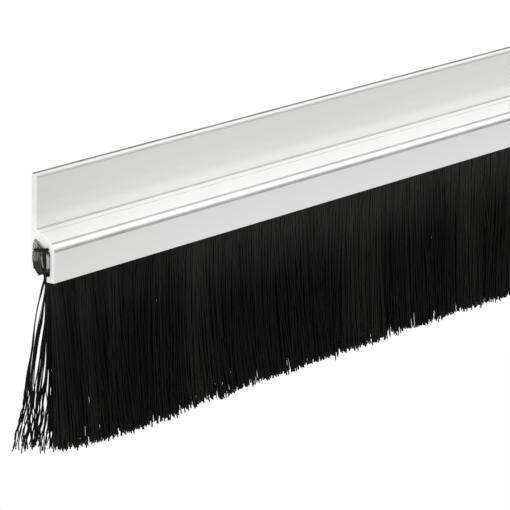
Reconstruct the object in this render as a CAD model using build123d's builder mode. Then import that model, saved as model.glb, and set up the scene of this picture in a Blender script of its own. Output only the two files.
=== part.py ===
from build123d import *
import os

# Door bottom brush sweep: an extruded h-shaped aluminium carrier whose flange
# screws to the door face, and a metal-backed strip brush that slides into the
# carrier's pocket from the end.
#
# Frame, in millimetres:
#   X  along the strip, 0 at mid length
#   Y  0 on the back face (the face against the door), +Y into the door,
#      so the front of the sweep is towards -Y
#   Z  up, 0 on the line of the fixing holes

LENGTH = 1000.0             # whole strip
SIDE = Plane.YZ             # sketch x is Y, sketch y is Z, extruded along X

# ---------------------------------------------------------------- carrier
DEPTH = 8.0                 # back face to front leg
FLANGE_T = 1.75             # thickness of the fixing flange
FLANGE_TOP = 5.1            # top edge above the hole line
SHELF_Z = -4.9              # flat shelf over the pocket
SHELF_CHAMFER = 0.9         # 45 degree chamfer on the shelf's front edge
GROOVE_W = 1.4              # floor of the shallow relief along the flange's foot
GROOVE_DEPTH = 0.1          # its front side rises at 45 degrees
GROOVE_Z = SHELF_Z - GROOVE_DEPTH

ROOF_Z = -7.0               # pocket roof
POCKET_BACK = -1.35         # back wall of the pocket
POCKET_FRONT = -6.55        # front wall of the pocket

FRONT_LEG_Z = -12.25        # outer foot of the front leg
FRONT_LIP_Y = -5.45         # tip of the front retaining lip
FRONT_LIP_FOOT_Z = -13.5    # bottom of the tip
FRONT_LIP_TOP_Z = FRONT_LEG_Z - 0.15
FRONT_LIP_ROOT_Z = FRONT_LEG_Z + 0.65         # where the lip leaves the pocket wall

BACK_LEG_Z = -14.3          # foot of the back leg, about 2 lower
BACK_LIP_Y = -2.45          # tip of the back retaining lip
BACK_LIP_FOOT_Z = BACK_LEG_Z + 0.3
BACK_LIP_TOP_Z = BACK_LEG_Z + 0.9
BACK_LIP_ROOT_Z = BACK_LEG_Z + 1.65

EDGE_R = 0.15               # extruded outside corners
FLANGE_FOOT_R = 0.3         # inner corner at the flange's foot
ROOF_R = 0.35               # corners of the pocket roof

# ---------------------------------------------------------------- fixing holes
HOLE_D = 4.2                # clearance for a 4 mm screw
HOLE_COUNT = 4
HOLE_PITCH = 250.0

# ---------------------------------------------------------------- strip brush
BRUSH_Y = (FRONT_LIP_Y + BACK_LIP_Y) / 2      # centre plane, midway between the lips
BRUSH_OUT = 0.6             # steel back and roots stand out of the carrier at both ends

CHANNEL_W = 5.0             # outside width of the steel back
CHANNEL_T = 0.45            # its sheet thickness
CHANNEL_TOP = ROOF_Z - 0.1  # 0.1 running clearance under the roof
CHANNEL_SIDE_Z = -11.1      # where the sides start to close in
CHANNEL_TOP_R = 1.3         # top corners
CHANNEL_SIDE_R = 0.8        # bends where the sides close in
MOUTH_Z = -12.15            # edges of the mouth
MOUTH_W = 3.3               # outside width across the mouth
MOUTH_CUT_H = 2.4           # height of the cut, centred on the edges, that opens it

WIRE_D = 1.3                # core wire
WIRE_Z = -9.6               # its axis
WIRE_CHAMFER = 0.15         # on both ends
WIRE_GAP = 0.03             # between the wire and the bristles round it

# ---------------------------------------------------------------- bristles
PIVOT_Z = -14.45            # line about which the free bristles flex
HEAD_R = 1.25               # rounded head of the free length
CROWN_Z = PIVOT_Z + HEAD_R - 0.002            # top of the head at the parting
TIP_Z = -47.0               # bristle tips
FRONT_TIP_Y = -10.0         # front face at the tips; the front row leans forward
SPLIT_TIP_Y = -6.2          # where the two rows part at the tips
REAR_TIP_Y = -3.2           # rear face at the tips
ROW_SETBACK = 0.04          # each row, from the parting between them

FOLD_R = 1.95               # outside of the fold round the wire
SHOULDER_DROP = 1.3         # from the wire axis to where the pack tapers in
SHOULDER_INSET = 0.05       # narrowing of each side down to there
NECK_W = 2.3                # bristle pack where it leaves the mouth
NECK_TOP_Z = MOUTH_Z + 0.45
ROOT_END_Z = PIVOT_Z + HEAD_R + 0.08          # roots stop just above the head


def near(a, b):
    return abs(a - b) < 1e-6


def symmetric_outline(half_profile):
    """Mirror (half width, Z) points, listed top to bottom, about the brush plane."""
    rear = [(BRUSH_Y + half, z) for half, z in half_profile]
    front = [(BRUSH_Y - half, z) for half, z in reversed(half_profile)]
    return rear + front


def carrier_profile():
    """Extruded carrier: flange, shelf and the pocket between the two legs."""
    chamfer_y = -DEPTH + SHELF_CHAMFER
    with BuildPart() as carrier:
        with BuildSketch(SIDE) as outline:
            with BuildLine():
                Polyline(
                    # flange
                    (0, FLANGE_TOP),
                    (-FLANGE_T, FLANGE_TOP),
                    # relief and shelf
                    (-FLANGE_T, GROOVE_Z),
                    (-FLANGE_T - GROOVE_W, GROOVE_Z),
                    (-FLANGE_T - GROOVE_W - GROOVE_DEPTH, SHELF_Z),
                    (chamfer_y, SHELF_Z),
                    # front leg and lip
                    (-DEPTH, SHELF_Z - SHELF_CHAMFER),
                    (-DEPTH, FRONT_LEG_Z),
                    (FRONT_LIP_Y, FRONT_LIP_FOOT_Z),
                    (FRONT_LIP_Y, FRONT_LIP_TOP_Z),
                    # pocket
                    (POCKET_FRONT, FRONT_LIP_ROOT_Z),
                    (POCKET_FRONT, ROOF_Z),
                    (POCKET_BACK, ROOF_Z),
                    (POCKET_BACK, BACK_LIP_ROOT_Z),
                    # back lip and leg
                    (BACK_LIP_Y, BACK_LIP_TOP_Z),
                    (BACK_LIP_Y, BACK_LIP_FOOT_Z),
                    (0, BACK_LEG_Z),
                    close=True,
                )
            make_face()
            # outside corners: back face, flange top, front leg and shelf chamfer
            outer = [
                v for v in outline.vertices()
                if near(v.X, 0)
                or (near(v.X, -FLANGE_T) and v.Y > 0)
                or near(v.X, -DEPTH)
                or near(v.X, chamfer_y)
            ]
            fillet(outer, radius=EDGE_R)
            foot = [
                v for v in outline.vertices()
                if near(v.X, -FLANGE_T) and near(v.Y, GROOVE_Z)
            ]
            fillet(foot, radius=FLANGE_FOOT_R)
            roof = [v for v in outline.vertices() if near(v.Y, ROOF_Z)]
            fillet(roof, radius=ROOF_R)
        extrude(amount=LENGTH / 2, both=True)
        # row of screw holes through the flange, drilled from the front
        with Locations(Plane(origin=(0, -FLANGE_T, 0), x_dir=(1, 0, 0), z_dir=(0, -1, 0))):
            with GridLocations(HOLE_PITCH, HOLE_PITCH, HOLE_COUNT, 1):
                Hole(radius=HOLE_D / 2, depth=FLANGE_T)
    return carrier.part


def brush_channel():
    """Steel back: a bent sheet channel, open at the mouth below."""
    half_profile = [
        (CHANNEL_W / 2, CHANNEL_TOP),
        (CHANNEL_W / 2, CHANNEL_SIDE_Z),
        (MOUTH_W / 2, MOUTH_Z),
    ]
    with BuildPart() as channel:
        with BuildSketch(SIDE) as section:
            with BuildLine():
                Polyline(*symmetric_outline(half_profile), close=True)
            make_face()
            fillet(section.vertices().group_by(Axis.Y)[-1], radius=CHANNEL_TOP_R)
            bends = [v for v in section.vertices() if near(v.Y, CHANNEL_SIDE_Z)]
            fillet(bends, radius=CHANNEL_SIDE_R)
            # hollow, one sheet thickness in from the outside
            offset(amount=-CHANNEL_T, mode=Mode.SUBTRACT, kind=Kind.INTERSECTION)
            with Locations((BRUSH_Y, MOUTH_Z)):
                Rectangle(MOUTH_W - 2 * CHANNEL_T, MOUTH_CUT_H, mode=Mode.SUBTRACT)
        extrude(amount=LENGTH / 2 + BRUSH_OUT, both=True)
    return channel.part


def core_wire():
    """Round wire that holds the folded bristles in the channel."""
    with BuildPart() as wire:
        with BuildSketch(SIDE):
            with Locations((BRUSH_Y, WIRE_Z)):
                Circle(WIRE_D / 2)
        extrude(amount=LENGTH / 2, both=True)
        chamfer(wire.edges().filter_by(GeomType.CIRCLE), length=WIRE_CHAMFER)
    return wire.part


def bristle_roots():
    """Bristles folded over the core wire; both halves leave by the mouth."""
    half_profile = [
        (FOLD_R, WIRE_Z),
        (FOLD_R - SHOULDER_INSET, WIRE_Z - SHOULDER_DROP),
        (NECK_W / 2, NECK_TOP_Z),
        (NECK_W / 2, ROOT_END_Z),
    ]
    with BuildPart() as roots:
        with BuildSketch(SIDE):
            with Locations((BRUSH_Y, WIRE_Z)):
                Circle(FOLD_R)
            with BuildLine():
                Polyline(*symmetric_outline(half_profile), close=True)
            make_face()
            with Locations((BRUSH_Y, WIRE_Z)):
                Circle(WIRE_D / 2 + WIRE_GAP, mode=Mode.SUBTRACT)
        extrude(amount=LENGTH / 2 + BRUSH_OUT, both=True)
    return roots.part


def bristle_row(side, tip_y):
    """One leaning row of free bristles; side is -1 for the front, +1 for the rear."""
    shoulder = (BRUSH_Y + side * HEAD_R, PIVOT_Z)
    parting_y = BRUSH_Y + side * ROW_SETBACK
    crown = (parting_y, CROWN_Z)
    with BuildPart() as row:
        with BuildSketch(SIDE):
            with BuildLine():
                # the sign of the radius makes the head bulge upwards on either side
                RadiusArc(shoulder, crown, -side * HEAD_R)
                Polyline(
                    crown,
                    (parting_y, PIVOT_Z),
                    (SPLIT_TIP_Y + side * ROW_SETBACK, TIP_Z),
                    (tip_y, TIP_Z),
                    shoulder,
                )
            make_face()
        extrude(amount=LENGTH / 2, both=True)
    return row.part


parts = {
    "carrier_profile": carrier_profile(),
    "brush_channel": brush_channel(),
    "core_wire": core_wire(),
    "bristle_roots": bristle_roots(),
    "front_bristle_row": bristle_row(side=-1, tip_y=FRONT_TIP_Y),
    "rear_bristle_row": bristle_row(side=1, tip_y=REAR_TIP_Y),
}

os.makedirs("parts", exist_ok=True)
for name, part in parts.items():
    part.label = name
    export_step(part, f"parts/{name}.step")
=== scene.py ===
"""A strip brush in an aluminium carrier, for the foot of a door.

The strip lies along X, with its left end at -X. Front is -Y and up is +Z. The carrier's flange
stands up along its back plane at y = 0, with the screw holes at z = 0. Below it a pocket holds a
folded steel back, where black nylon filaments are folded over a core wire and hang down.
Sizes are in millimetres unless a comment says otherwise, and become metres through MM or mm().
"""
import bpy
import bmesh
import math
import numpy as np
from mathutils import Matrix, Vector
from mathutils.geometry import tessellate_polygon


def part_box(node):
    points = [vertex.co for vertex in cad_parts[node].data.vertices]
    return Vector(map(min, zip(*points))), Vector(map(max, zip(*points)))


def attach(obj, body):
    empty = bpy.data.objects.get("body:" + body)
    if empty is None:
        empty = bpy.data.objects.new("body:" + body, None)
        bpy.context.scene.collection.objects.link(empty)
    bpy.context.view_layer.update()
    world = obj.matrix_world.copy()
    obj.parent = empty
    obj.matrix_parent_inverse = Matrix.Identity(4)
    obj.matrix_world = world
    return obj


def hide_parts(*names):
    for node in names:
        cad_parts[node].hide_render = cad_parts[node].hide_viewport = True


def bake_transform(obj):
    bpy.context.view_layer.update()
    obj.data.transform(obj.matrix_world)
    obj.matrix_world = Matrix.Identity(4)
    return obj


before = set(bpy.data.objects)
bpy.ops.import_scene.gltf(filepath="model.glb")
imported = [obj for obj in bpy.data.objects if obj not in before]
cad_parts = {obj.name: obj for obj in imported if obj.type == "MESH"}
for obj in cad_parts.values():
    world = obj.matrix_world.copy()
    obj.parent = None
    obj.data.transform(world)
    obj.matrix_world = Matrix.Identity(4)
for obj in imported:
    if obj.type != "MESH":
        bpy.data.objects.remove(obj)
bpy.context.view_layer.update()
SCENE = bpy.context.scene
MM = 0.001

# ------------------------------------------------------------------ sizes from the frame
carrier_lo, carrier_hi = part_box("carrier_profile")
back_lo, back_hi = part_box("brush_channel")
wire_lo, wire_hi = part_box("core_wire")
bristle_lo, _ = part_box("front_bristle_row")
LEFT_X, RIGHT_X = carrier_lo.x / MM, carrier_hi.x / MM
TOP_Z = carrier_hi.z / MM
BRUSH_Y = (back_lo.y + back_hi.y) / 2 / MM      # centre plane of the strip brush
BACK_LEFT, BACK_RIGHT = back_lo.x / MM, back_hi.x / MM
WIRE_Z = (wire_lo.z + wire_hi.z) / 2 / MM
WIRE_RADIUS = (wire_hi.z - wire_lo.z) / 2 / MM
TIP_Z = bristle_lo.z / MM
MOUTH_Z = -12.15                                # mouth of the steel back
FREE = MOUTH_Z - TIP_Z                          # mouth to bristle tips


def mm(*values):
    """Millimetres to metres."""
    return tuple(v * MM for v in values)


def clamp01(value):
    return min(max(value, 0.0), 1.0)


# ------------------------------------------------------------------ mesh helpers
def add_object(name, data):
    ob = bpy.data.objects.new(name, data)
    SCENE.collection.objects.link(ob)
    return ob


def object_from(bm, name):
    """An object made from this bmesh, which is freed."""
    mesh = bpy.data.meshes.new(name)
    bm.to_mesh(mesh)
    bm.free()
    return add_object(name, mesh)


def rounded(points, arc_step):
    """Closed outline of (y, z, radius), with an arc in steps of about arc_step degrees at
    each corner."""
    out = []
    for i, (y, z, r) in enumerate(points):
        corner = np.array([y, z], float)
        before = np.array(points[i - 1][:2], float) - corner
        after = np.array(points[(i + 1) % len(points)][:2], float) - corner
        len_before, len_after = np.linalg.norm(before), np.linalg.norm(after)
        before, after = before / len_before, after / len_after
        half = math.acos(max(-1, min(1, float(before @ after)))) / 2
        cut = min(r / math.tan(half), 0.49 * min(len_before, len_after))
        radius = cut * math.tan(half)
        middle = before + after
        centre = corner + middle / np.linalg.norm(middle) * (radius / math.sin(half))
        start = math.atan2(*(corner + before * cut - centre)[::-1])
        end = math.atan2(*(corner + after * cut - centre)[::-1])
        turn = (end - start + math.pi) % (2 * math.pi) - math.pi
        steps = max(2, int(round(abs(math.degrees(turn)) / arc_step)))
        for j in range(steps + 1):
            angle = start + turn * j / steps
            out.append(centre + radius * np.array([math.cos(angle), math.sin(angle)]))
    return np.array(out)


def inset(outline, by):
    """The outline moved inwards by a small distance."""
    following = np.roll(outline, -1, axis=0)
    area = 0.5 * np.sum(outline[:, 0] * following[:, 1] - following[:, 0] * outline[:, 1])
    normals = []
    for edge in (outline - np.roll(outline, 1, axis=0), following - outline):
        edge /= np.linalg.norm(edge, axis=1)[:, None]
        normals.append(np.c_[-edge[:, 1], edge[:, 0]] * np.sign(area))
    normal = normals[0] + normals[1]
    normal /= np.maximum(np.einsum("ij,ij->i", normal, normal), 1e-6)[:, None] / 2
    return outline + normal * by


def extruded(name, outline, stations, bevel):
    """A bar with this (y, z) outline along X, with a small bevel at both cut ends."""
    n = len(outline)
    small = inset(outline, bevel)
    rings = [(stations[0], small), (stations[0] + bevel, outline)]
    rings += [(x, outline) for x in stations[1:-1]]
    rings += [(stations[-1] - bevel, outline), (stations[-1], small)]
    verts = [mm(x, y, z) for x, ring in rings for y, z in ring]
    faces = []
    for k in range(len(rings) - 1):
        for i in range(n):
            j = (i + 1) % n
            faces.append((k * n + i, k * n + j, (k + 1) * n + j, (k + 1) * n + i))
    last = (len(rings) - 1) * n
    for triangle in tessellate_polygon([[Vector((y, z, 0)) for y, z in small]]):
        faces.append(tuple(triangle))
        faces.append(tuple(last + i for i in triangle))
    mesh = bpy.data.meshes.new(name)
    mesh.from_pydata(verts, [], faces)
    bm = bmesh.new()
    bm.from_mesh(mesh)
    bmesh.ops.recalc_face_normals(bm, faces=bm.faces)
    bm.to_mesh(mesh)
    bm.free()
    return add_object(name, mesh)


def apply_modifiers(ob):
    depsgraph = bpy.context.evaluated_depsgraph_get()
    mesh = bpy.data.meshes.new_from_object(
        ob.evaluated_get(depsgraph), preserve_all_data_layers=True, depsgraph=depsgraph)
    ob.modifiers.clear()
    ob.data = mesh


def smooth(ob):
    """Smooth shading with flat faces kept flat."""
    mesh = ob.data
    mesh.polygons.foreach_set("use_smooth", [True] * len(mesh.polygons))
    mesh.set_sharp_from_angle(angle=math.radians(34.0))
    weighted = ob.modifiers.new("weighted", "WEIGHTED_NORMAL")
    weighted.mode = "FACE_AREA"
    weighted.weight = 100
    weighted.keep_sharp = True
    apply_modifiers(ob)


# ------------------------------------------------------------------ node helpers
def grey(value):
    return (value, value, value, 1)


class Nodes:
    """The emptied node tree of a material or world, with short ways to add nodes."""

    def __init__(self, owner, output="ShaderNodeOutputMaterial"):
        self.owner = owner
        owner.use_nodes = True
        self.tree = owner.node_tree
        self.tree.nodes.clear()
        self.out = self.new(output)

    def new(self, kind, **props):
        node = self.tree.nodes.new(kind)
        for key, value in props.items():
            setattr(node, key, value)
        return node

    def link(self, source, target):
        self.tree.links.new(source, target)

    def put(self, socket, value):
        """Link the value if it is a socket, or else set it."""
        if isinstance(value, bpy.types.NodeSocket):
            self.link(value, socket)
        else:
            socket.default_value = value

    def math(self, op, a, b=0.0, clamp=False):
        node = self.new("ShaderNodeMath", operation=op, use_clamp=clamp)
        for socket, value in zip(node.inputs, (a, b, 0.0)):
            self.put(socket, value)
        return node.outputs[0]

    def add(self, total, *terms):
        for term in terms:
            total = self.math("ADD", total, term)
        return total

    def mul(self, a, b, clamp=False):
        return self.math("MULTIPLY", a, b, clamp)

    def mix(self, factor, a, b):
        node = self.new("ShaderNodeMix", data_type="RGBA")
        self.put(node.inputs["Factor"], factor)
        self.put(node.inputs["A"], a)
        self.put(node.inputs["B"], b)
        return node.outputs["Result"]

    def remap(self, value, at, to, smooth=False):
        """Goes from to[0] to to[1] as the value goes from at[0] to at[1]."""
        kind = "SMOOTHSTEP" if smooth else "LINEAR"
        node = self.new("ShaderNodeMapRange", interpolation_type=kind)
        self.put(node.inputs[0], value)
        for k, number in enumerate((*at, *to), start=1):
            node.inputs[k].default_value = number
        return node.outputs[0]

    def noise(self, vector, scale=1.0, detail=2.0, roughness=0.6, stretch=None):
        if stretch:
            vector = self.scaled(vector, stretch)
        node = self.new("ShaderNodeTexNoise")
        self.put(node.inputs["Vector"], vector)
        node.inputs["Scale"].default_value = scale
        node.inputs["Detail"].default_value = detail
        node.inputs["Roughness"].default_value = roughness
        return node.outputs["Fac"]

    def scaled(self, vector, factors):
        node = self.new("ShaderNodeVectorMath", operation="MULTIPLY")
        self.put(node.inputs[0], vector)
        node.inputs[1].default_value = factors
        return node.outputs[0]

    def xyz(self, vector):
        node = self.new("ShaderNodeSeparateXYZ")
        self.link(vector, node.inputs[0])
        return node.outputs

    def object_place(self):
        return self.new("ShaderNodeTexCoord").outputs["Object"]

    def object_normal(self):
        """The x, y and z of the face normal in the object's own axes."""
        geometry = self.new("ShaderNodeNewGeometry")
        turned = self.new("ShaderNodeVectorTransform", vector_type="NORMAL",
                          convert_from="WORLD", convert_to="OBJECT")
        self.link(geometry.outputs["True Normal"], turned.inputs[0])
        return self.xyz(turned.outputs[0])

    def bump(self, height, strength, distance):
        node = self.new("ShaderNodeBump")
        self.put(node.inputs["Height"], height)
        node.inputs["Strength"].default_value = strength
        node.inputs["Distance"].default_value = distance
        return node.outputs[0]

    def principled(self, **inputs):
        node = self.new("ShaderNodeBsdfPrincipled")
        for key, value in inputs.items():
            self.put(node.inputs[key.replace("_", " ")], value)
        self.link(node.outputs[0], self.out.inputs["Surface"])


# ------------------------------------------------------------------ materials
# lines along the carrier that hold shade: y, z, radius of full tone, outer radius, depth of tone
EDGE_LINES = [
    (0.0, 5.1, 0.38, 0.80, 0.86),
    (-1.62, 5.12, 0.08, 0.44, 0.45),
    (-1.86, -4.99, 0.10, 0.30, 0.48),
    (-3.2, -4.95, 0.08, 0.24, 0.36),
    (-7.03, -4.9, 0.12, 0.33, 0.52),
    (-8.0, -5.8, 0.14, 0.48, 0.60),
]


def edge_shade(g, y, z):
    """Thin shade along the EDGE_LINES."""
    shade = None
    for line_y, line_z, full, outer, depth in EDGE_LINES:
        dy = g.math("SUBTRACT", y, line_y * MM)
        dz = g.math("SUBTRACT", z, line_z * MM)
        distance = g.math("SQRT", g.add(g.mul(dy, dy), g.mul(dz, dz)))
        line = g.remap(distance, at=mm(full, outer), to=(depth, 0.0), smooth=True)
        shade = line if shade is None else g.math("MAXIMUM", shade, line)
    return shade


def aluminium():
    g = Nodes(bpy.data.materials.new("satin_anodised_aluminium"))
    place = g.object_place()
    x, y, z = g.xyz(place)
    normal_x, _, normal_z = g.object_normal()
    end = g.remap(g.math("ABSOLUTE", normal_x), at=(0.6, 0.9), to=(0.0, 1.0))

    # die lines left along the extrusion, coarse and fine
    fine = g.noise(place, stretch=(6.0, 5200.0, 5200.0), detail=3.0)
    lines = g.noise(place, stretch=(1.5, 1300.0, 1300.0), roughness=0.5)
    cloud = g.noise(place, stretch=(28.0, 90.0, 90.0), detail=3.0, roughness=0.55)
    grain = g.noise(place, scale=9000.0)
    # saw marks on the cut ends
    wave = g.new("ShaderNodeTexWave", wave_type="BANDS", bands_direction="DIAGONAL",
                 wave_profile="SAW")
    g.put(wave.inputs["Vector"], g.scaled(place, (0.0, 1.0, 0.55)))
    wave.inputs["Scale"].default_value = 620.0
    wave.inputs["Distortion"].default_value = 1.6
    wave.inputs["Detail"].default_value = 2.0
    saw = wave.outputs["Fac"]

    height = g.add(g.mul(fine, 0.5), g.mul(lines, 0.8), g.mul(grain, 0.25))
    side_bump = g.bump(height, strength=0.35, distance=0.000012)
    end_bump = g.bump(g.add(saw, g.mul(grain, 0.6)), strength=0.2, distance=0.00002)
    blend = g.new("ShaderNodeMix", data_type="VECTOR")
    g.put(blend.inputs["Factor"], end)
    # the vector sockets in the node's own order, its hidden ones included
    vectors = [s for s in blend.inputs if s.type == "VECTOR"]
    g.link(side_bump, vectors[0])
    g.link(end_bump, vectors[1])
    normal = [s for s in blend.outputs if s.type == "VECTOR"][0]

    # darker and a little warmer towards the sawn ends
    from_middle = g.math("ABSOLUTE", x)
    near_end = g.remap(from_middle, at=mm(470, 500), to=(0.0, 1.0), smooth=True)
    last_bit = g.remap(from_middle, at=mm(492.5, 498.5), to=(0.0, -0.062), smooth=True)
    tone = g.add(
        g.remap(lines, at=(0.3, 0.7), to=(-0.010, 0.010)),
        g.remap(cloud, at=(0.3, 0.7), to=(-0.008, 0.008)),
        # painted light by height: paler down the flange, darker below the front edge, then slowly
        # paler again
        # painted reflection of the bright shelf on the flange's foot, held as painted light on the
        # shelf and down the leg
        g.remap(z, at=mm(-1.5, -4.6), to=(0.0, 0.118), smooth=True),
        # painted shade below the front edge
        g.remap(z, at=mm(-5.55, -6.0), to=(0.0, -0.065)),
        # painted light from the floor, paler down the leg
        g.remap(z, at=mm(-6.0, -12.2), to=(0.0, 0.035)),
        g.mul(near_end, -0.030),
        # upward faces only
        g.mul(last_bit, g.remap(normal_z, at=(0.85, 0.97), to=(0.0, 1.0))))
    foot = g.remap(z, at=mm(-3.0, -4.8), to=(0.0, 0.012))
    film_and_painted_light = g.new("ShaderNodeCombineColor")
    g.put(film_and_painted_light.inputs["Red"], g.add(tone, 0.784))
    g.put(film_and_painted_light.inputs["Green"], g.add(tone, 0.786, g.mul(near_end, -0.006)))
    g.put(film_and_painted_light.inputs["Blue"], g.add(tone, 0.770, g.add(foot, g.mul(near_end, -0.014))))

    # pale sawn ends: bare matte metal with saw marks, their paleness raised further as painted light
    sawn = g.mix(g.remap(saw, at=(0.0, 1.0), to=(0.0, 1.0)),
                 (0.935, 0.932, 0.93, 1), (0.905, 0.902, 0.90, 1))
    # painted shade on the sawn end up the flange
    painted_shade_up_flange = g.remap(z, at=mm(-4.5, -1.5), to=(0.0, 0.085), smooth=True)
    sawn = g.mix(painted_shade_up_flange, sawn, grey(0.0))
    colour = g.mix(end, film_and_painted_light.outputs[0], sawn)

    shade = g.mul(edge_shade(g, y, z), g.math("SUBTRACT", 1.0, end))
    patchy = g.noise(place, stretch=(260.0, 40.0, 40.0), detail=3.0)
    uneven = g.remap(patchy, at=(0.25, 0.75), to=(0.8, 1.15))
    colour = g.mix(g.mul(shade, uneven, clamp=True), colour, grey(0.06))

    rough = g.add(g.remap(cloud, at=(0.3, 0.7), to=(0.36, 0.42)),
                  g.mul(fine, 0.05), g.mul(end, 0.12))
    tangent = g.new("ShaderNodeTangent", direction_type="RADIAL", axis="X")
    g.principled(Base_Color=colour, Metallic=g.remap(end, at=(0.0, 1.0), to=(0.3, 0.02)),
                 Roughness=rough, Normal=normal, Anisotropic=0.35,
                 Tangent=tangent.outputs[0])
    return g.owner


def steel_painted_shade(g, place, colour):
    """Darkens the steel back's top, lower edges and sheared ends with painted shade, and its
    downward faces with a painted reflection of the black bristles. Also returns where the
    sheared ends are."""
    normal_x, _, normal_z = g.object_normal()
    _, y, z = g.xyz(place)
    up = g.remap(normal_z, at=(0.55, 0.85), to=(0.0, 0.92))
    down = g.remap(normal_z, at=(-0.15, -0.45), to=(0.0, 0.95))
    cut = g.remap(g.math("ABSOLUTE", normal_x), at=(0.5, 0.8), to=(0.0, 1.0))
    # painted shade: upward faces under the pocket's roof and everything round the mouth below z -10;
    # downward faces get a painted reflection of the black bristles
    colour = g.mix(up, colour, grey(0.045))
    colour = g.mix(g.remap(z, at=mm(-9.8, -10.2), to=(0.0, 0.9)), colour, grey(0.03))
    colour = g.mix(down, colour, grey(0.012))
    # the sheet's section in painted shade: grey high up and dark low down, with pale front and rear
    # walls that go dark low down
    low = g.remap(z, at=mm(-8.3, -9.0), to=(0.0, 1.0))
    sheet = g.mix(low, grey(0.16), grey(0.018))
    rear = g.remap(y, at=mm(BRUSH_Y + 1.9, BRUSH_Y + 2.15), to=(0.0, 1.0))
    rear_low = g.remap(z, at=mm(-10.2, -10.8), to=(0.0, 1.0))
    sheet = g.mix(rear, sheet, g.mix(rear_low, grey(0.60), grey(0.09)))
    front = g.remap(y, at=mm(BRUSH_Y - 1.9, BRUSH_Y - 2.15), to=(0.0, 1.0))
    front = g.mul(front, g.remap(z, at=mm(-9.9, -10.4), to=(1.0, 0.0)))
    sheet = g.mix(front, sheet, grey(0.50))
    return g.mix(cut, colour, sheet), cut


def steel(name, base, spot, roughness, spangle_scale, sheared=False):
    """Steel mottled between the colours base and spot."""
    g = Nodes(bpy.data.materials.new(name))
    place = g.object_place()
    spangle = g.new("ShaderNodeTexVoronoi")
    g.put(spangle.inputs["Vector"], g.scaled(place, (0.5, 1.0, 1.0)))
    spangle.inputs["Scale"].default_value = spangle_scale
    spots = g.new("ShaderNodeSeparateColor")
    g.link(spangle.outputs["Color"], spots.inputs[0])
    cloud = g.noise(place, stretch=(60.0, 400.0, 400.0), detail=4.0)
    drawn = g.noise(place, stretch=(8.0, 6000.0, 6000.0))
    mottle = g.add(g.mul(spots.outputs[0], 0.45), g.mul(cloud, 0.55))
    colour = g.mix(mottle, base, spot)
    metallic = 0.85
    # the galvanised back gets painted shade on its top, lower edges and sheared ends
    if sheared:
        colour, cut = steel_painted_shade(g, place, colour)
        metallic = g.remap(cut, at=(0.0, 1.0), to=(metallic, 0.25))
    g.principled(
        Base_Color=colour, Metallic=metallic,
        Roughness=g.add(roughness, g.remap(cloud, at=(0.2, 0.8), to=(-0.08, 0.10))),
        Normal=g.bump(g.add(drawn, g.mul(cloud, 0.7)), strength=0.4, distance=0.00002))
    return g.owner


# U picks a filament's colour: black up to BLACK_U, then from PALE_U up to near white at 1, the pale
# part being painted glints on single filaments
BLACK_U, PALE_U = 0.97, 0.985
NYLON_STOPS = [
    (0.0, (0.0030, 0.0030, 0.0029)), (0.5, (0.0058, 0.0058, 0.0054)),
    (BLACK_U, (0.0150, 0.0149, 0.0139)), (PALE_U, (0.0150, 0.0149, 0.0139)),
    (1.0, (0.50, 0.50, 0.49)),
]


def nylon():
    """Black monofilament. U is the filament's tone and V runs from the fold to the tip."""
    g = Nodes(bpy.data.materials.new("black_nylon_monofilament"))
    uv = g.new("ShaderNodeUVMap", uv_map="OFBake").outputs[0]
    tone_u, along, _ = g.xyz(uv)
    patch = g.noise(uv, stretch=(90.0, 5.0, 1.0), detail=3.0)
    ramp = g.new("ShaderNodeValToRGB")
    elements = ramp.color_ramp.elements
    while len(elements) < len(NYLON_STOPS):
        elements.new(0.5)
    for element, (position, rgb) in zip(elements, NYLON_STOPS):
        element.position = position
        element.color = (*rgb, 1)
    g.put(ramp.inputs[0], tone_u)
    colour = g.mix(g.remap(patch, at=(0.25, 0.75), to=(0.0, 0.22)),
                   ramp.outputs["Color"], (0.0064, 0.0064, 0.0060, 1))
    # uneven tone along the strip
    x, _, _ = g.xyz(g.object_place())
    wide = g.new("ShaderNodeCombineXYZ")
    g.put(wide.inputs[0], g.mul(x, 95.0))
    g.put(wide.inputs[1], g.mul(along, 2.2))
    sway = g.noise(wide.outputs[0], detail=3.0, roughness=0.55)
    colour = g.mix(g.remap(sway, at=(0.35, 0.65), to=(0.0, 0.28)),
                   colour, (0.0064, 0.0064, 0.0072, 1))
    # paler where the strands leave the steel back, less so at the strip's ends
    root = g.math("POWER", g.remap(along, at=(0.31, 0.72), to=(1.0, 0.0)), 1.8)
    root = g.mul(root, g.remap(g.math("ABSOLUTE", x), at=mm(452, 492), to=(0.92, 0.22)))
    root = g.mul(root, g.remap(sway, at=(0.3, 0.7), to=(0.72, 1.1)), clamp=True)
    colour = g.mix(root, colour, (0.042, 0.042, 0.0405, 1))
    # a little greyer towards the tips
    colour = g.mix(g.remap(along, at=(0.62, 0.95), to=(0.0, 0.26)),
                   colour, (0.0130, 0.0130, 0.0121, 1))
    tip = g.remap(along, at=(0.975, 1.0), to=(0.0, 0.45), smooth=True)
    colour = g.mix(tip, colour, (0.022, 0.022, 0.021, 1))
    rough = g.add(g.remap(patch, at=(0.2, 0.8), to=(0.42, 0.56)), g.mul(tip, 0.2))
    g.principled(Base_Color=colour, Metallic=0.0, Roughness=rough, IOR=1.47,
                 Specular_IOR_Level=0.07)
    return g.owner


ALUMINIUM = aluminium()
ZINC_STEEL = steel("galvanised_steel", base=grey(0.50), spot=grey(0.66), roughness=0.45,
                   spangle_scale=900.0, sheared=True)
WIRE_STEEL = steel("drawn_steel_wire", base=grey(0.16), spot=(0.26, 0.26, 0.255, 1),
                   roughness=0.42, spangle_scale=2500.0)
NYLON = nylon()


# ------------------------------------------------------------------ carrier
FLANGE = 1.75           # flange thickness
BODY_Y = -8.0           # front face of the carrier
POCKET_Z = -7.0         # roof of the pocket
POCKET_FRONT, POCKET_REAR = -6.55, -1.35
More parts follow.
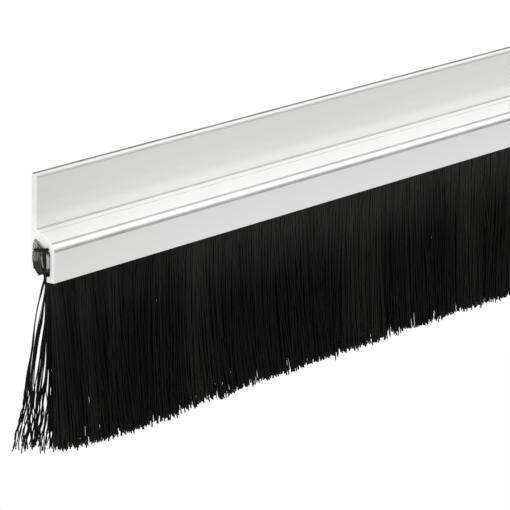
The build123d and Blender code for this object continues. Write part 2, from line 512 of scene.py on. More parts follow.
# y, z, corner radius
CARRIER_OUTLINE = [
    (0.0, TOP_Z, 0.15), (-FLANGE, TOP_Z, 0.15), (-FLANGE, -5.0, 0.30),
    (-3.15, -5.0, 0.02), (-3.25, -4.9, 0.02), (-7.1, -4.9, 0.15), (BODY_Y, -5.8, 0.15),
    (BODY_Y, -12.25, 0.15), (-5.45, -13.5, 0.12), (-5.45, -12.40, 0.05),
    (POCKET_FRONT, -11.60, 0.10), (POCKET_FRONT, POCKET_Z, 0.35),
    (POCKET_REAR, POCKET_Z, 0.35), (POCKET_REAR, -12.65, 0.10),
    (-2.45, -13.4, 0.06), (-2.45, -14.0, 0.06), (0.0, -14.3, 0.15),
]
HOLE_PITCH = 250.0
HOLE_SEGMENTS = 64
# the hole with a broken edge on both faces: y, radius
HOLE_PROFILE = [(0.6, 2.75), (0.0, 2.22), (-0.12, 2.1), (-1.63, 2.1), (-FLANGE, 2.22),
                (-2.35, 2.75)]


def hole_cutter():
    bm = bmesh.new()
    for hole in range(4):
        hole_x = (hole - 1.5) * HOLE_PITCH
        rings = []
        for y, radius in HOLE_PROFILE:
            ring = []
            for k in range(HOLE_SEGMENTS):
                angle = 2 * math.pi * k / HOLE_SEGMENTS
                place = mm(hole_x + radius * math.cos(angle), y, radius * math.sin(angle))
                ring.append(bm.verts.new(place))
            rings.append(ring)
        for a, b in zip(rings, rings[1:]):
            for k in range(HOLE_SEGMENTS):
                following = (k + 1) % HOLE_SEGMENTS
                bm.faces.new((a[k], a[following], b[following], b[k]))
        bm.faces.new(rings[0])
        bm.faces.new(list(reversed(rings[-1])))
    bmesh.ops.recalc_face_normals(bm, faces=bm.faces)
    return object_from(bm, "drill")


def carrier():
    stations = list(np.linspace(LEFT_X, RIGHT_X, 41))
    ob = extruded("aluminium_carrier", rounded(CARRIER_OUTLINE, arc_step=18.0), stations,
                  bevel=0.05)
    drill = hole_cutter()
    holes = ob.modifiers.new("holes", "BOOLEAN")
    holes.operation = "DIFFERENCE"
    holes.solver = "EXACT"
    holes.object = drill
    bpy.context.view_layer.update()
    apply_modifiers(ob)
    bpy.data.objects.remove(drill)
    smooth(ob)
    ob.data.materials.clear()
    ob.data.materials.append(ALUMINIUM)
    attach(ob, "carrier")
    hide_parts("carrier_profile")


# ------------------------------------------------------------------ steel back and core wire
# y from the brush's centre plane, z, corner radius
BACK_OUTLINE = [
    (-1.65, MOUTH_Z, 0.05), (-2.5, -11.1, 0.8), (-2.5, -7.1, 1.3),
    (2.5, -7.1, 1.3), (2.5, -11.1, 0.8), (1.65, MOUTH_Z, 0.05),
    (1.2, MOUTH_Z, 0.03), (1.2, -11.99, 0.03), (2.05, -10.94, 0.4), (2.05, -7.55, 0.85),
    (-2.05, -7.55, 0.85), (-2.05, -10.94, 0.4), (-1.2, -11.99, 0.03), (-1.2, MOUTH_Z, 0.03),
]
PINCH_LENGTH = 0.9      # length at each end where the front edge of the mouth is pinched
PINCH_RISE = 0.85


def channel():
    outline = [(BRUSH_Y + y, z, radius) for y, z, radius in BACK_OUTLINE]
    # close stations at both ends for the pinch
    stations = [BACK_LEFT, BACK_LEFT + 0.5, BACK_LEFT + 1.0, BACK_LEFT + 1.5]
    stations += list(np.linspace(BACK_LEFT, BACK_RIGHT, 21)[1:-1])
    stations += [BACK_RIGHT - 1.5, BACK_RIGHT - 1.0, BACK_RIGHT - 0.5, BACK_RIGHT]
    ob = extruded("steel_back_channel", rounded(outline, arc_step=12.0), stations, bevel=0.04)
    # the front edge of the mouth is pinched upwards at both ends
    for vertex in ob.data.vertices:
        x, y, z = vertex.co / MM
        at_end = clamp01((abs(x) - (RIGHT_X - PINCH_LENGTH)) / PINCH_LENGTH)
        pinch = at_end * clamp01((BRUSH_Y - 0.6 - y) / 0.6)
        vertex.co.z += PINCH_RISE * pinch * clamp01((-10.6 - z) / 1.4) * MM
    smooth(ob)
    ob.data.materials.append(ZINC_STEEL)
    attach(ob, "brush")
    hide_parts("brush_channel")


def wire():
    outline = np.array([(BRUSH_Y + WIRE_RADIUS * math.cos(a), WIRE_Z + WIRE_RADIUS * math.sin(a))
                        for a in np.linspace(0, 2 * math.pi, 33)[:-1]])
    stations = list(np.linspace(LEFT_X, RIGHT_X, 21))
    ob = extruded("steel_core_wire", outline, stations, bevel=0.12)
    smooth(ob)
    ob.data.materials.append(WIRE_STEEL)
    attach(ob, "brush")
    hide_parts("core_wire")


# ------------------------------------------------------------------ bristles
# Each filament is folded over the wire into a front half (side -1) and a rear half (side 1).
# Its layer runs from 0 next to the wire to 1 outermost. A path is an array (filament, ring,
# xyz), and u is y from the brush's centre plane.
FILAMENT_RADIUS = 0.14
PER_MM = 21                                 # folded filaments to a millimetre
PIECES = 21                                 # objects along the strip
ARC = np.radians([135.0, 90.0, 45.0])       # rings over the wire

# rings below the mouth as shares of the free length, and V at every ring of a half
STRAND_RINGS = np.array([0.16, 0.32, 0.48, 0.64, 0.78, 0.89, 0.96, 1.0])
STRAND_V = np.concatenate([[0.12, 0.28, 0.31], 0.30 + 0.70 * STRAND_RINGS])
LOOSE_RINGS = np.concatenate([np.linspace(0.02, 0.60, 14), np.linspace(0.63, 1.0, 20)])
LOOSE_V = np.concatenate([[0.12, 0.28], 0.30 + 0.70 * LOOSE_RINGS])
STUB_V = np.array([0.12, 0.2, 0.28])

# how far the free ends are swept towards +X: distance from the left end, and slope
SWEPT_AT = [0.0, 4.0, 10.0, 34.0, 60.0, 110.0, 300.0, 1000.0]
SWEPT = [0.0, 0.006, 0.046, 0.055, 0.028, 0.020, 0.012, 0.012]

# lift of the filaments' tone, a painted sheen in patches from the left end: distance from the left
# end, and how much
TONE_AT = [0.0, 10.0, 26.0, 44.0, 58.0, 72.0, 88.0, 105.0, 160.0, 240.0]
TONE_UP = [0.05, 0.08, -0.04, 0.30, 0.36, 0.36, 0.12, 0.14, 0.06, 0.12]


def smooth_noise(x, cell, seed):
    """Smooth random value in -1..1 along the strip."""
    margin = 30
    count = int((RIGHT_X - LEFT_X + 2 * margin) / cell) + 4
    values = np.random.default_rng(seed).uniform(-1, 1, count)
    t = (x - LEFT_X + margin) / cell
    i = np.floor(t).astype(int)
    f = t - i
    f = f * f * (3 - 2 * f)
    return values[i] * (1 - f) + values[i + 1] * f


def fold_radius(layer):
    inner = WIRE_RADIUS + 0.16
    return inner + layer * (1.80 - WIRE_RADIUS - 0.16)


def ring_at(x, u, z):
    """One ring's centres, one for each filament."""
    return np.stack(np.broadcast_arrays(x, BRUSH_Y + u, z), axis=1)


def strands(root_x, side, layer, rng):
    """Paths of one half of each folded filament, from the side of the wire to the tip."""
    n = len(root_x)
    mouth_u = 0.10 + layer * 0.93
    from_left, from_right = root_x - LEFT_X, RIGHT_X - root_x
    from_end = np.minimum(from_left, from_right)

    # length of each strand: tufts, a few short ones and a few long ones
    pitch = 1.45
    cell = np.floor((root_x - LEFT_X) / pitch + 0.25 * side)
    pick = (cell.astype(int) + 7) % 4000
    tuft_shift = np.random.default_rng(41).uniform(-0.5, 0.5, 4000)
    tuft_length = np.random.default_rng(42).uniform(-1.0, 1.0, 4000)
    tuft_x = LEFT_X + (cell + 0.5 - 0.25 * side + tuft_shift[pick] * 0.6) * pitch
    length = FREE + 0.60 + 0.32 * tuft_length[pick] + 0.20 * smooth_noise(root_x, 7.0, seed=13)
    # longer about 18 mm from the left end, shorter at both ends
    length += 1.15 * np.exp(-((from_left - 18.0) / 8.0) ** 2) - 0.45 * np.exp(-from_end / 4.0)
    length += rng.normal(0, 0.17, n)
    is_short = rng.random(n) < 0.05
    length -= is_short * rng.exponential(0.9, n)
    is_long = rng.random(n) < 0.02
    length += is_long * rng.uniform(0.2, 0.8, n)
    length = np.clip(length, FREE - 6.0, FREE + 2.6)

    # lean across the strip: the outer strands flare more
    if side < 0:
        tip_u = -2.1 - 3.80 * layer ** 0.72 + rng.normal(0, 0.16, n)
    else:
        tip_u = -2.1 + 2.6 * layer ** 1.1 + rng.normal(0, 0.25, n)
    tip_u += 0.22 * smooth_noise(root_x, 4.0, seed=21)
    tip_u += 0.20 * smooth_noise(root_x, 17.0, seed=22)

    # lean along the strip, as a slope: each strand's own, wide and narrow waves, a few wild ones
    wide_seed, narrow_seed = (31, 33) if side < 0 else (32, 34)
    lean = rng.normal(0, 0.027, n) + 0.052 * smooth_noise(root_x + 9 * layer, 11.0, wide_seed)
    narrow = smooth_noise(root_x + 7 * layer, 3.2, narrow_seed)
    lean += 0.022 * (0.4 + (1.0 - 0.7 * layer)) * narrow
    is_wild = rng.random(n) < 0.08
    lean += is_wild * rng.normal(0.03, 0.07, n)
    # the free ends are swept to one side, most of all near the left end
    swept = np.interp(from_left, SWEPT_AT, SWEPT) * (1.0 - np.exp(-from_right / 12.0))
    swept *= rng.uniform(0.3, 1.7, n)
    # the last strands hang straight
    lean *= 1.0 - 0.7 * np.exp(-from_end / 2.5)

    # strands gather into small tufts at the very tips
    pull = rng.uniform(0.1, 0.55, n) * (np.abs(tuft_x - root_x) < 1.3)
    bow_x = rng.normal(0, 0.20, n) + 0.35 * smooth_noise(root_x + 6 * layer, 5.0, seed=35)
    bow_u = rng.normal(0, 0.16, n)
    phase_x, phase_u = rng.uniform(0, 2 * np.pi, n), rng.uniform(0, 2 * np.pi, n)
    wave = rng.uniform(0.02, 0.08, n)
    wavelength = rng.uniform(7.5, 11.0, n)

    rings = [
        ring_at(root_x, side * fold_radius(layer), WIRE_Z),
        ring_at(root_x, side * mouth_u, MOUTH_Z + 0.1),
        ring_at(root_x, side * (mouth_u * 1.03), -13.6),
    ]
    for t in STRAND_RINGS:
        down = length * t
        turn = 2 * np.pi * down / wavelength
        u = side * mouth_u + (tip_u - side * mouth_u) * t ** 1.2 + bow_u * np.sin(math.pi * t)
        x = root_x + lean * down + bow_x * np.sin(math.pi * t) + pull * (tuft_x - root_x) * t ** 8
        x += swept * down * t + wave * t * np.sin(turn + phase_x)
        u += 0.6 * wave * t * np.sin(turn + phase_u)
        # both ends slope in towards the middle, more so at the rear
        back = 0.35 + 0.55 * np.maximum(u + BRUSH_Y + 5.9, 0.0)
        back = back * np.clip((down - 2.0) / 14.0, 0.0, 1.0)
        x += back * (np.exp(-(from_left - 0.75) / 2.2) - np.exp(-(from_right - 0.75) / 2.2))
        rings.append(ring_at(x, u, MOUTH_Z - down))
    return np.stack(rings, axis=1)


# depths below the mouth
DEPTH = [0, 1, 2, 3, 4, 5, 6, 7, 8, 9, 10, 12, 14, 16, 18, 20, 22, 24, 26, 28, 30, 32, 34, 36, 38]
# ribbons of loose strands: how many filaments, how long at each edge, and how far the outer
# and the inner edge stand out of the sawn end at those depths
RIBBONS = [
    (4, (31.8, 35.0),
        [-0.42, -0.34, 0.09, 0.36, 0.59, 0.81, 1.07, 1.32, 1.48, 1.64, 1.87, 2.18, 2.42,
         2.75, 3.13, 3.53, 3.82, 4.07, 4.32, 4.96, 5.72, 6.23, 6.68, 6.92, 6.92],
        [-0.71, -0.68, -0.4, -0.19, 0.15, 0.48, 0.75, 0.99, 1.15, 1.3, 1.48, 1.63, 1.83,
         2.26, 2.66, 2.85, 2.91, 3.11, 3.32, 3.71, 4.16, 4.57, 4.89, 5.15, 5.16]),
    (4, (35.0, 35.2),
        [-0.8, -0.79, -0.65, -0.51, -0.37, -0.18, 0.04, 0.34, 0.58, 0.78, 1.04, 1.45, 1.82,
         2.16, 2.42, 2.62, 2.6, 2.85, 3.06, 3.33, 3.73, 4.2, 4.61, 4.94, 4.97],
        [-0.9, -0.89, -0.78, -0.67, -0.54, -0.44, -0.33, -0.21, -0.1, -0.07, 0.16, 0.69, 1.11,
         1.43, 1.86, 2.13, 2.32, 2.21, 2.32, 2.58, 2.85, 3.14, 3.38, 3.73, 3.9]),
    (5, (35.1, 35.0),
        [-0.9, -0.89, -0.81, -0.72, -0.67, -0.61, -0.56, -0.53, -0.5, -0.46, -0.32, 0.05, 0.45,
         0.74, 1.04, 1.36, 1.74, 2.04, 2.15, 2.38, 2.64, 2.73, 2.74, 3.24, 3.4],
        [-1.09, -1.09, -1.03, -0.97, -0.91, -0.85, -0.79, -0.76, -0.72, -0.68, -0.64, -0.53, -0.4,
         -0.22, -0.07, 0.25, 0.62, 1.03, 1.41, 1.54, 1.71, 2.02, 2.22, 2.73, 2.91]),
    (5, (34.5, 35.2),
        [-1.09, -1.09, -1.03, -0.97, -0.92, -0.86, -0.81, -0.79, -0.77, -0.75, -0.73, -0.69, -0.64,
         -0.5, -0.46, -0.24, 0.03, 0.55, 1.01, 1.18, 1.38, 1.69, 1.83, 1.97, 2.12],
        [-1.28, -1.28, -1.24, -1.2, -1.16, -1.12, -1.08, -1.06, -1.03, -1.01, -0.98, -0.93, -0.88,
         -0.84, -0.79, -0.71, -0.5, -0.32, -0.19, -0.18, 0.14, 0.78, 1.28, 1.48, 1.72]),
    (5, (37.8, 36.4),
        [-1.28, -1.28, -1.24, -1.2, -1.16, -1.11, -1.06, -1.04, -1.02, -1, -0.97, -0.93, -0.88,
         -0.83, -0.83, -0.95, -0.95, -0.78, -0.56, -0.53, -0.2, 0.34, 0.69, 1.05, 1.13],
        [-1.85, -1.85, -1.84, -1.82, -1.81, -1.79, -1.77, -1.76, -1.74, -1.73, -1.71, -1.68, -1.65,
         -1.62, -1.55, -1.31, -1.22, -1.33, -1.6, -1.59, -1.58, -1.48, -1.28, -1.07, -0.82]),
    (5, (36.6, 36.4),
        [-1.85, -1.85, -1.84, -1.82, -1.81, -1.79, -1.77, -1.76, -1.74, -1.73, -1.71, -1.68, -1.65,
         -1.62, -1.61, -1.66, -1.58, -1.43, -1.6, -1.59, -1.58, -1.5, -1.36, -1.19, -0.99],
        [-2.81, -2.81, -2.8, -2.78, -2.77, -2.75, -2.73, -2.71, -2.7, -2.68, -2.66, -2.63, -2.6,
         -2.56, -2.53, -2.49, -2.46, -2.43, -2.39, -2.36, -2.32, -2.29, -2.26, -2.22, -2.19]),
]
RIBBON_COUNT, RIBBON_LENGTHS, RIBBON_OUTER, RIBBON_INNER = zip(*RIBBONS)
# how much each ribbon is narrowed at each edge where it doesn't splay
RIBBON_INSET = (0.06, -0.02, -0.04, -0.04, -0.04, -0.04)
# filament radius by depth: the outer two ribbons are drawn thin in their upper part
LOOSE_RADIUS = (0, 40), (0.105, 0.105)
THINNED = {
    0: ((0, 4, 8, 13, 16, 22), (0.085, 0.072, 0.056, 0.052, 0.078, 0.105)),
    1: ((0, 8, 10, 12), (0.060, 0.055, 0.070, 0.105)),
}
LEAN_OUT = 0.55         # how far the end slopes outwards for each mm towards the front


def loose_radius(ribbon):
    """Filament radius at every ring of the loose filaments."""
    down = np.concatenate([[0.0, 0.0], 36.0 * LOOSE_RINGS])
    rows = np.array([np.interp(down, *THINNED.get(k, LOOSE_RADIUS)) for k in ribbon])
    return np.concatenate([rows[:, ::-1], np.repeat(rows[:, :1], len(ARC), 1), rows], axis=1)


def loose_strands(root_x, side, layer, ribbon, across, end_x, out, rng):
    """Paths of the strands left loose at a sawn end: ribbons that splay outwards and are
    crimped near the tips. across runs from 0 at a ribbon's outer edge to 1 at its inner edge."""
    n = len(root_x)
    mouth_u = -0.85 + side * (0.05 + 0.25 * layer)
    across = across + side * 0.25 / np.array([RIBBON_COUNT[k] for k in ribbon])
    length = np.array([np.interp(q, (0, 1), RIBBON_LENGTHS[k]) for k, q in zip(ribbon, across)])
    length = length + rng.normal(0, 0.55, n)
    tip_u = -2.2 + rng.normal(0.0, 0.45, n)
    stray = rng.normal(0, 1.0, n)
    narrowed = np.array([RIBBON_INSET[k] for k in ribbon])
    phase_x, phase_u, phase_slow = (rng.uniform(0, 2 * np.pi, n) for _ in range(3))
    wavelength = rng.uniform(3.2, 6.0, n)
    crimp = rng.uniform(0.05, 0.24, n)

    def edge(table, down):
        return np.array([np.interp(d, DEPTH, table[k]) for k, d in zip(ribbon, down)])

    rings = [
        ring_at(root_x, side * fold_radius(layer), WIRE_Z),
        ring_at(root_x, mouth_u, MOUTH_Z + 0.1),
    ]
    for t in LOOSE_RINGS:
        down = length * t
        turn = 2 * np.pi * down / wavelength
        splay = clamp01((t - 0.45) / 0.4)
        crimped = clamp01((t - 0.60) / 0.2)
        outer, inner = edge(RIBBON_OUTER, down), edge(RIBBON_INNER, down)
        u = mouth_u * (1 - t) ** 2 + tip_u * t ** 1.2 + 0.8 * crimp * crimped * np.sin(turn + phase_u)
        half = np.maximum((outer - inner) / 2 - narrowed * (1 - splay), 0.04)
        off = (outer + inner) / 2 + half * (1 - 2 * across) * (1 + 0.25 * splay * (ribbon > 0))
        off += (stray * (0.02 + 0.30 * splay)
                + (0.02 + 0.08 * splay) * np.sin(down / 4.0 + phase_slow)
                + crimp * crimped * np.sin(turn + phase_x))
        off += LEAN_OUT * (-2.2 * t ** 1.2 - u)
        rings.append(ring_at(end_x + out * off, u, MOUTH_Z - down))
    return np.stack(rings, axis=1)


# bent filament ends standing out of the fold at a sawn end: how many, their tone, how far they
# stand out at start, middle and tip, and the y, z of those points for the first and the last;
# the pale tones are painted highlights on the filaments
FRAYED = [
    (4, 0.500, (0.16, 0.16, 0.16),
        ((-1.46, -7.95), (-1.52, -7.3), (-1.9, -7.08)),
        ((-1.52, -8.1), (-1.72, -7.45), (-2.2, -7.16))),
    (2, 0.450, (0.16, 0.16, 0.16),
        ((-2.1, -7.07), (-3.8, -7.07), (-5.6, -7.07)),
        ((-2.3, -7.09), (-3.9, -7.09), (-5.4, -7.09))),
    (5, 0.500, (0.64, 0.64, 0.64),
        ((-2.2, -6.88), (-2.15, -7.6), (-2.3, -8.3)),
        ((-3.1, -6.74), (-3.3, -7.14), (-3.38, -7.76))),
    (4, 0.006, (0.88, 0.74, 0.18),
        ((-3.31, -7.75), (-5.11, -6.67), (-6.44, -6.12)),
        ((-3.32, -8.18), (-5.12, -7.12), (-6.35, -6.67))),
    (7, 0.280, (0.7, 0.7, 0.7),
        ((-2.26, -8.91), (-2.13, -9.89), (-2.39, -10.75)),
        ((-4.02, -7.89), (-3.97, -8.82), (-3.88, -9.77))),
    (5, 0.120, (0.72, 0.72, 0.72),
        ((-4.23, -7.76), (-4.31, -8.61), (-4.5, -9.5)),
        ((-5.6, -6.96), (-5.54, -7.59), (-5.52, -8.3))),
    (2, 0.300, (0.84, 0.84, 0.84),
        ((-5.11, -8.0), (-5.34, -8.97), (-5.77, -10.01)),
        ((-5.52, -7.86), (-5.68, -8.87), (-6.04, -9.75))),
    (4, 0.006, (0.68, 0.7, 0.66),
        ((-5.8, -6.96), (-5.97, -8.64), (-6.15, -10.75)),
        ((-6.38, -6.82), (-6.52, -8.52), (-6.56, -10.4))),
    (14, 0.012, (0.66, 0.72, 0.66),
        ((-2.38, -10.36), (-2.69, -11.67), (-3.89, -12.38)),
        ((-4.84, -9.12), (-5.32, -10.42), (-6.22, -10.96))),
    (4, 0.008, (0.66, 0.68, 0.66),
        ((-3.84, -11.68), (-5.08, -11.05), (-6.24, -10.29)),
        ((-3.85, -12.38), (-5.09, -11.57), (-6.19, -10.89))),
    (3, 0.006, (0.7, 0.66, 0.55),
        ((-6.09, -9.37), (-6.15, -10.55), (-5.77, -12.12)),
        ((-6.46, -9.15), (-6.49, -10.35), (-6.08, -11.93))),
]
FRAYED_RINGS = 7
DARK_TONE = 0.0105      # tones up to this one lie in the black part of U


def tone_to_u(tone):
    if tone <= DARK_TONE:
        return BLACK_U * tone / DARK_TONE
    return PALE_U + 0.015 * (tone - DARK_TONE) / 0.4895


def frayed(end_x, out, rng):
    """Paths and U values of the bent filament ends at one sawn end."""
    t = np.linspace(0, 1, FRAYED_RINGS)
    # weights of a curve through three points
    basis = np.stack([(1 - t) * (1 - 2 * t), 4 * t * (1 - t), t * (2 * t - 1)], axis=1)
    paths, tones = [], []
    for count, tone, stand, first, last in FRAYED:
        for k in range(count):
            q = (k + 0.5 + rng.uniform(-0.4, 0.4)) / count
            yz = (1 - q) * np.array(first) + q * np.array(last) + rng.normal(0, 0.06, (3, 2))
            off = np.array(stand) + rng.uniform(-0.02, 0.16) * (stand[0] > 0.3)
            if out > 0:
                # kept within the pocket's section, for when the brush slides through it
                yz = np.column_stack([np.clip(yz[:, 0], -5.90, -2.00),
                                      np.clip(yz[:, 1], -11.4, -7.45)])
                off = np.maximum(off, 0.64)
            paths.append(basis @ np.column_stack([end_x + out * off, yz]))
            tones.append(tone_to_u(tone))
    return np.array(paths), np.array(tones)


def stubs(root_x, side, layer, rng):
    """Paths of filaments cut off short inside the steel back."""
    n = len(root_x)
    cut = rng.uniform(0.0, 1.0, n)
    # those that stand out of the end are cut a little lower and sway
    outside = np.minimum(root_x - LEFT_X, RIGHT_X - root_x) < -0.59
    outward = np.maximum(layer, 0)
    mouth_u = 0.10 + outward * 1.05
    cut_z = MOUTH_Z + np.where(outside, 0.22, 0.25) - 0.50 * cut
    if side < 0:
        cut_z += 0.61 * mouth_u
    z = np.stack([np.full(n, WIRE_Z), np.full(n, WIRE_Z - 1.3), cut_z], axis=1)
    u = np.stack([fold_radius(layer), 0.3 + outward * 1.35, mouth_u], axis=1)
    sway = np.where(outside, 0.22 * np.sin(17.0 * layer + 3.0), 0.0)
    y = BRUSH_Y + side * u + sway[:, None] * np.array([0.0, 1.0, 1.6])
    path = np.stack([np.repeat(root_x[:, None], 3, 1), y, z], axis=2)
    path[:, 1:, 0] += rng.normal(0, 0.05, (n, 2))
    return path


def tubes(path, sides, radius):
    """Closed tubes round the paths: vertices, quads and the caps at both ends."""
    n, m, _ = path.shape
    along = np.empty_like(path)
    along[:, 1:-1] = path[:, 2:] - path[:, :-2]
    along[:, 0] = path[:, 1] - path[:, 0]
    along[:, -1] = path[:, -1] - path[:, -2]
    along /= np.linalg.norm(along, axis=2)[..., None]
    across = np.array([1.0, 0, 0]) - along * along[..., :1]
    across /= np.linalg.norm(across, axis=2)[..., None]
    normal = np.cross(along, across)
    angle = 2 * np.pi * np.arange(sides) / sides
    ring = (np.cos(angle)[:, None] * normal[:, :, None, :]
            + np.sin(angle)[:, None] * across[:, :, None, :])
    verts = path[:, :, None, :] + np.reshape(radius, (n, -1))[:, :, None, None] * ring
    first = (np.arange(n) * m * sides)[:, None]
    base = first[:, :, None] + (np.arange(m - 1) * sides)[None, :, None]
    k = np.arange(sides)[None, None, :]
    k2 = (k + 1) % sides
    quads = np.stack([base + k, base + k2, base + sides + k2, base + sides + k], axis=-1)
    start_cap = first + np.arange(sides)[::-1][None]
    end_cap = first + (m - 1) * sides + np.arange(sides)[None]
    return verts.reshape(-1, 3), quads.reshape(-1, 4), start_cap, end_cap


def filament_object(name, path, ring_v, radius, sides, tone):
    """An object of filaments round the paths."""
    n, m, _ = path.shape
    verts, quads, start_cap, end_cap = tubes(path, sides, radius)
    mesh = bpy.data.meshes.new(name)
    mesh.vertices.add(len(verts))
    mesh.vertices.foreach_set("co", (verts * MM).astype(np.float32).ravel())
    index = np.concatenate([quads.ravel(), start_cap.ravel(), end_cap.ravel()])
    total = np.concatenate([np.full(len(quads), 4), np.full(2 * n, sides)]).astype(np.int32)
    start = np.concatenate([[0], np.cumsum(total)[:-1]]).astype(np.int32)
    mesh.loops.add(len(index))
    mesh.loops.foreach_set("vertex_index", index.astype(np.int32))
    mesh.polygons.add(len(total))
    mesh.polygons.foreach_set("loop_start", start)
    mesh.polygons.foreach_set("loop_total", total)
    mesh.update(calc_edges=True)
    # smooth sides, flat cut ends
    mesh.polygons.foreach_set("use_smooth", np.arange(len(total)) < len(quads))
    uv = np.stack([tone[index // (m * sides)], ring_v[(index // sides) % m]], axis=-1)
    layer = mesh.uv_layers.new(name="OFBake")
    layer.data.foreach_set("uv", uv.astype(np.float32).ravel())
    mesh.validate()
    ob = add_object(name, mesh)
    mesh.materials.append(NYLON)
    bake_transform(ob)
    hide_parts("bristle_roots", "front_bristle_row", "rear_bristle_row")


def bristle_piece(name, root_x, layer, halves, half_v, rng, tone, sides=6,
                  radius=FILAMENT_RADIUS):
    """Filaments made of their front and rear halves, joined by an arc over the wire."""
    front, rear = halves
    fold = fold_radius(layer)
    arc = np.stack([ring_at(root_x, fold * math.cos(a), WIRE_Z + fold * math.sin(a))
                    for a in ARC], axis=1)
    path = np.concatenate([front[:, ::-1], arc, rear], axis=1)
    ring_v = np.concatenate([half_v[::-1], [0.06, 0.0, 0.06], half_v])
    radius = radius * rng.uniform(0.90, 1.06, (len(root_x), 1))
    filament_object(name, path, ring_v, radius, sides, tone)


def random_tone(n, rng):
    return 0.02 + 0.95 * rng.random(n)


def main_bristles():
    width = (RIGHT_X - LEFT_X) / PIECES
    end_gap = 0.75
    for p in range(PIECES):
        rng = np.random.default_rng(5100 + p)
        lo = LEFT_X + p * width + (end_gap if p == 0 else 0.0)
        hi = LEFT_X + (p + 1) * width - (end_gap if p == PIECES - 1 else 0.0)
        n = int(PER_MM * (hi - lo))
        root_x = lo + (np.arange(n) + rng.uniform(0, 1, n)) * (hi - lo) / n
        layer = rng.uniform(0, 1, n) ** 0.58
        tone_x = root_x + 2.0 * layer
        tone = 0.44 + 0.55 * smooth_noise(tone_x, 3.0, seed=51)
        tone = tone + 0.42 * smooth_noise(tone_x, 7.0, seed=52)
        # painted sheen in patches from the left end
        tone += np.interp(root_x - LEFT_X, TONE_AT, TONE_UP) + rng.normal(0, 0.04, n)
        tone = np.clip(tone, 0.0, BLACK_U)
        halves = [strands(root_x, side, layer, rng) for side in (-1, 1)]
        bristle_piece("bristles_%02d" % (p + 1), root_x, layer, halves, STRAND_V, rng, tone,
                      sides=4)


def loose_bristles(end, end_x, out, rng):
    ribbon = np.repeat(np.arange(len(RIBBONS)), RIBBON_COUNT)
    across = np.concatenate([(np.arange(count) + 0.5) / count for count in RIBBON_COUNT])
    n = len(ribbon)
    # the loosest filaments come from nearest the cut
    off = np.array([np.interp(q, (0, 1), (RIBBON_OUTER[k][0], RIBBON_INNER[k][0]))
                    for k, q in zip(ribbon, across)])
    off += LEAN_OUT * 0.85
    root_x = end_x + out * off
    layer = rng.uniform(0.1, 1, n)
    halves = [loose_strands(root_x, side, layer, ribbon, across, end_x, out, rng)
              for side in (-1, 1)]
    bristle_piece("loose_bristles_" + end, root_x, layer, halves, LOOSE_V, rng,
                  random_tone(n, rng), radius=loose_radius(ribbon))


def cut_fold(end, end_x, out, rng):
    """Short ends of cut filaments in the mouth of the steel back, then loops just outside."""
    packed, loops = 70, 40
    inwards = rng.uniform(-0.56, 0.75, packed)
    layer = rng.uniform(0.0, 1.0, packed) ** 0.8
    tone = random_tone(packed, rng)
    inwards = np.r_[inwards, -0.60 - 0.07 * rng.random(loops)]
    layer = np.r_[layer, rng.uniform(-0.55, 1.05, loops)]
    tone = np.r_[tone, random_tone(loops, rng)]
    root_x = end_x - out * inwards
    halves = [stubs(root_x, side, layer, rng) for side in (-1, 1)]
    bristle_piece("cut_fold_" + end, root_x, layer, halves, STUB_V, rng, tone, radius=0.13)


def end_bristles():
    for end, end_x, out, seed in (("left", LEFT_X, -1.0, 77), ("right", RIGHT_X, 1.0, 78)):
        rng = np.random.default_rng(seed)
        loose_bristles(end, end_x, out, rng)
        path, tone = frayed(end_x, out, rng)
        filament_object("frayed_ends_" + end, path, ring_v=np.full(FRAYED_RINGS, 0.15),
                        radius=np.full(len(path), 0.13), sides=6, tone=tone)
        cut_fold(end, end_x, out, rng)


carrier()
channel()
wire()
main_bristles()
end_bristles()


# ------------------------------------------------------------------ floor, light, camera
WHITE = grey(1)
# name, place in metres, size in metres, power in watts
LIGHTS = [
    ("soft_top", (-0.3, -0.25, 1.6), (2.6, 1.6), 4.0),
    ("soft_left", (-2.0, -0.9, 0.9), (1.6, 1.0), 3.0),
]
LIGHT_TARGET = (-0.3, 0, 0)
CAMERA_PLACE = (LEFT_X - 126.1, -232.3, 163.4)
CAMERA_PITCH, CAMERA_YAW, CAMERA_ROLL = map(math.radians, (33.12, -36.7, 4.92))
CAMERA_LENS = 131.27294


def white_to_camera(g, kind, colour, strength):
    """Plain white to the camera, and this colour and strength to every other ray."""
    lit, seen = g.new(kind), g.new(kind)
    for node, node_colour, node_strength in ((lit, colour, strength), (seen, WHITE, 1.0)):
        g.put(node.inputs["Color"], node_colour)
        g.put(node.inputs["Strength"], node_strength)
    light_path = g.new("ShaderNodeLightPath")
    mixed = g.new("ShaderNodeMixShader")
    g.link(light_path.outputs["Is Camera Ray"], mixed.inputs[0])
    g.link(lit.outputs[0], mixed.inputs[1])
    g.link(seen.outputs[0], mixed.inputs[2])
    g.link(mixed.outputs[0], g.out.inputs["Surface"])


def studio_floor():
    g = Nodes(bpy.data.materials.new("pale_floor"))
    white_to_camera(g, "ShaderNodeEmission", WHITE, strength=0.66)
    bm = bmesh.new()
    bmesh.ops.create_grid(bm, x_segments=8, y_segments=8, size=30.0)
    floor = object_from(bm, "studio_floor")
    floor.location = mm(0, 0, TIP_Z - 5.8)
    floor.data.materials.append(g.owner)


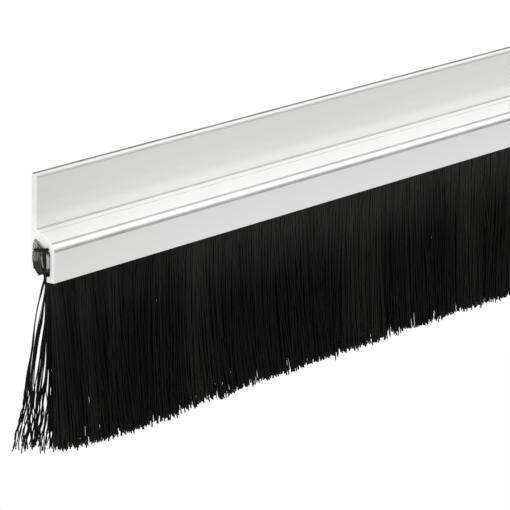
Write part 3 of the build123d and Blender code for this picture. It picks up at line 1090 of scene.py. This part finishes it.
def studio_world():
    """A grey sky, brighter overhead and towards the left end of the strip."""
    world = bpy.data.worlds.new("studio")
    SCENE.world = world
    g = Nodes(world, "ShaderNodeOutputWorld")

    def arithmetic(op, a, b):
        node = g.new("ShaderNodeMath", operation=op)
        g.put(node.inputs[0], a)
        g.put(node.inputs[1], b)
        return node.outputs[0]

    x, _, z = g.xyz(g.new("ShaderNodeTexCoord").outputs["Generated"])
    overhead = arithmetic("MULTIPLY", z, 0.50)
    leftwards = arithmetic("MULTIPLY", x, -0.30)
    level = arithmetic("ADD", arithmetic("ADD", overhead, leftwards), 0.82)
    sky = g.new("ShaderNodeCombineColor")
    for k in range(3):
        g.link(level, sky.inputs[k])
    white_to_camera(g, "ShaderNodeBackground", sky.outputs[0], strength=1.0)


def lights():
    for name, place, size, power in LIGHTS:
        light = bpy.data.lights.new(name, "AREA")
        light.shape = "RECTANGLE"
        light.size, light.size_y = size
        light.energy = power
        ob = add_object(name, light)
        ob.location = place
        ob.rotation_mode = "QUATERNION"
        aim = Vector(LIGHT_TARGET) - Vector(place)
        ob.rotation_quaternion = aim.to_track_quat("-Z", "Y")


def camera():
    """Looks down at the left end of the strip from its front left."""
    pitch, yaw, roll = CAMERA_PITCH, CAMERA_YAW, CAMERA_ROLL
    back = Vector((math.sin(yaw) * math.cos(pitch), -math.cos(yaw) * math.cos(pitch),
                   math.sin(pitch)))
    right = Vector((math.cos(yaw), math.sin(yaw), 0))
    up = back.cross(right)
    rolled_right = math.cos(roll) * right + math.sin(roll) * up
    rolled_up = -math.sin(roll) * right + math.cos(roll) * up
    matrix = Matrix.Identity(4)
    for column, axis in enumerate((rolled_right, rolled_up, back, Vector(CAMERA_PLACE) * MM)):
        for row in range(3):
            matrix[row][column] = axis[row]
    data = bpy.data.cameras.new("camera")
    data.sensor_width = 36.0
    data.sensor_fit = "HORIZONTAL"
    data.lens = CAMERA_LENS
    data.clip_start, data.clip_end = 0.01, 100.0
    ob = add_object("camera", data)
    ob.matrix_world = matrix
    SCENE.camera = ob


studio_floor()
studio_world()
lights()
camera()
SCENE.view_settings.view_transform = "Standard"
SCENE.view_settings.look = "None"
